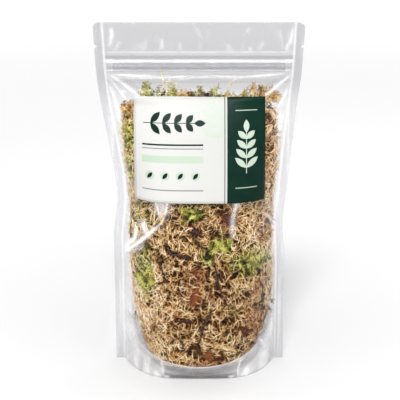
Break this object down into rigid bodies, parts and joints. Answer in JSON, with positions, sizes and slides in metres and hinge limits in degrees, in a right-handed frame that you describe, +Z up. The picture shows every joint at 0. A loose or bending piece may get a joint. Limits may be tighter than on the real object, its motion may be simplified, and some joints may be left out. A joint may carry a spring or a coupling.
{
  "type": "sphagnum moss clump in a clear stand-up pouch",
  "caption": "Tangled clump of fresh sphagnum moss with green heads, twigs and leaf scraps, packed in a clear stand-up zip pouch with a plain label.",
  "frame": {"origin": "the middle of the pouch's base, on the surface that it stands on", "axes": "+Z up the pouch, +X across it to the viewer's right of the label, -Y out of the labelled front"},
  "size_m": [0.1944, 0.1014, 0.33],
  "materials": {
    "film": "clear glossy film with soft wrinkles",
    "zip": "translucent white extruded strip",
    "label": "satin print on white",
    "straw_moss": "dull fibrous straw brown with paler and olive patches",
    "green_moss": "soft yellow green",
    "twig": "dark rough bark",
    "leaf_scrap": "dry red brown leaf"
  },
  "bodies": {
    "root": {"pouch_front_film": "film", "pouch_back_film": "film", "pouch_base_gusset": "film", "zip_front_track": "zip", "zip_back_track": "zip", "front_label": "label", "moss_mass": "straw_moss", "green_tuft_1": "green_moss", "green_tuft_2": "green_moss", "green_tuft_3": "green_moss", "green_tuft_4": "green_moss", "green_tuft_5": "green_moss", "green_tuft_6": "green_moss", "green_tuft_7": "green_moss", "green_tuft_8": "green_moss", "green_tuft_9": "green_moss", "twig_1": "twig", "twig_2": "twig", "twig_3": "twig", "twig_4": "twig", "twig_5": "twig", "twig_6": "twig", "twig_7": "twig", "leaf_scrap_1": "leaf_scrap", "leaf_scrap_2": "leaf_scrap", "leaf_scrap_3": "leaf_scrap", "leaf_scrap_4": "leaf_scrap", "leaf_scrap_5": "leaf_scrap", "leaf_scrap_6": "leaf_scrap", "leaf_scrap_7": "leaf_scrap", "leaf_scrap_8": "leaf_scrap", "leaf_scrap_9": "leaf_scrap"}
  },
  "joints": []
}
